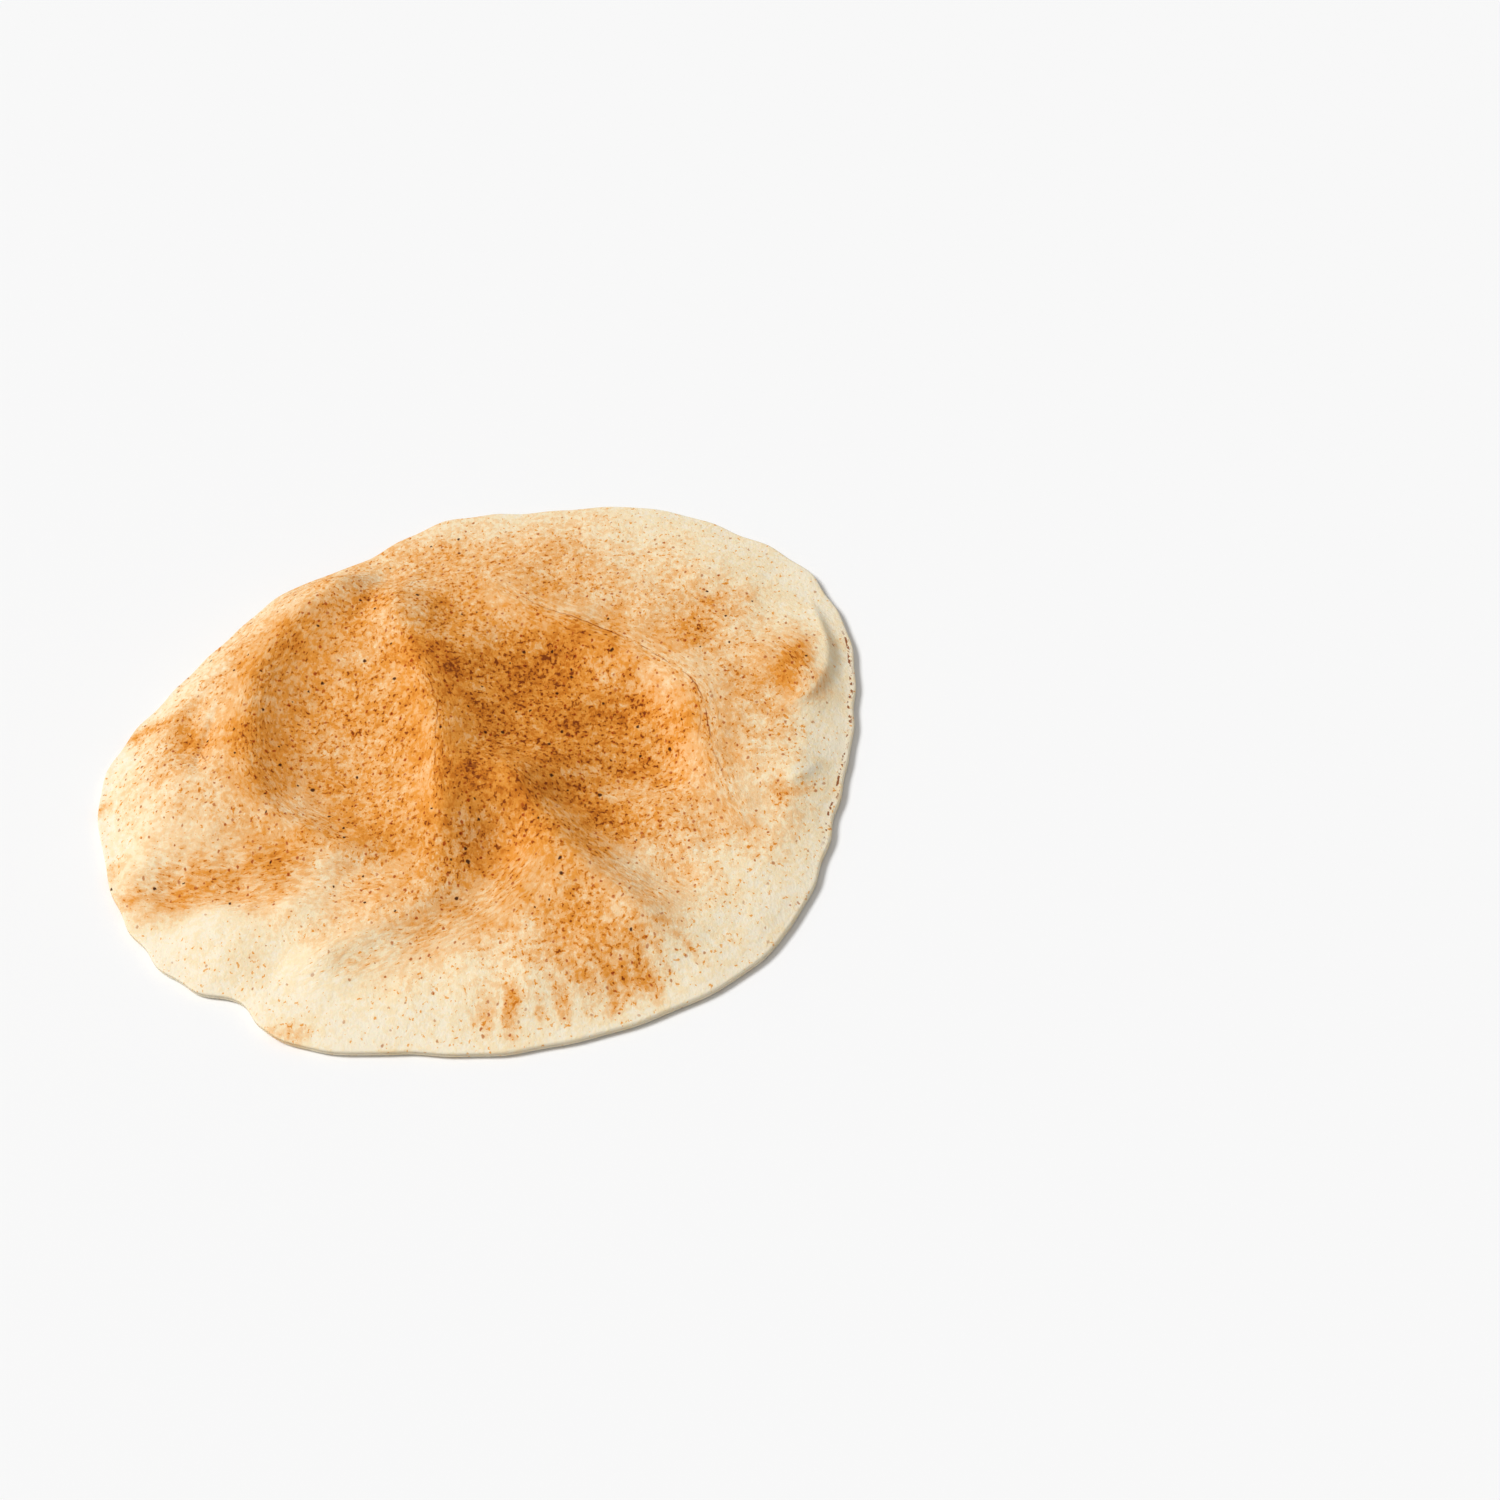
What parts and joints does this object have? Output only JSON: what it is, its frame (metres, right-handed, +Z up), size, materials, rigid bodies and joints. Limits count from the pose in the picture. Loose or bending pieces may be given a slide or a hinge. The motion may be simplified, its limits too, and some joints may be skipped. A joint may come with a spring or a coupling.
{
  "type": "pita bread",
  "caption": "Whole round pita bread lying flat: sealed thin rim, puffed top sunk into soft folds, toasted golden brown in patches.",
  "frame": {"origin": "middle of the plan outline's box, on the surface the bread rests on", "axes": "+Z up out of the puffed top, -Y towards the side the bread is seen from, +X to the viewer's right"},
  "size_m": [0.209, 0.208, 0.0169],
  "materials": {
    "crust": "dry matte baked crust, cream with toasted brown patches and fine flecks"
  },
  "bodies": {
    "root": {"pita_bread": "crust"}
  },
  "joints": []
}
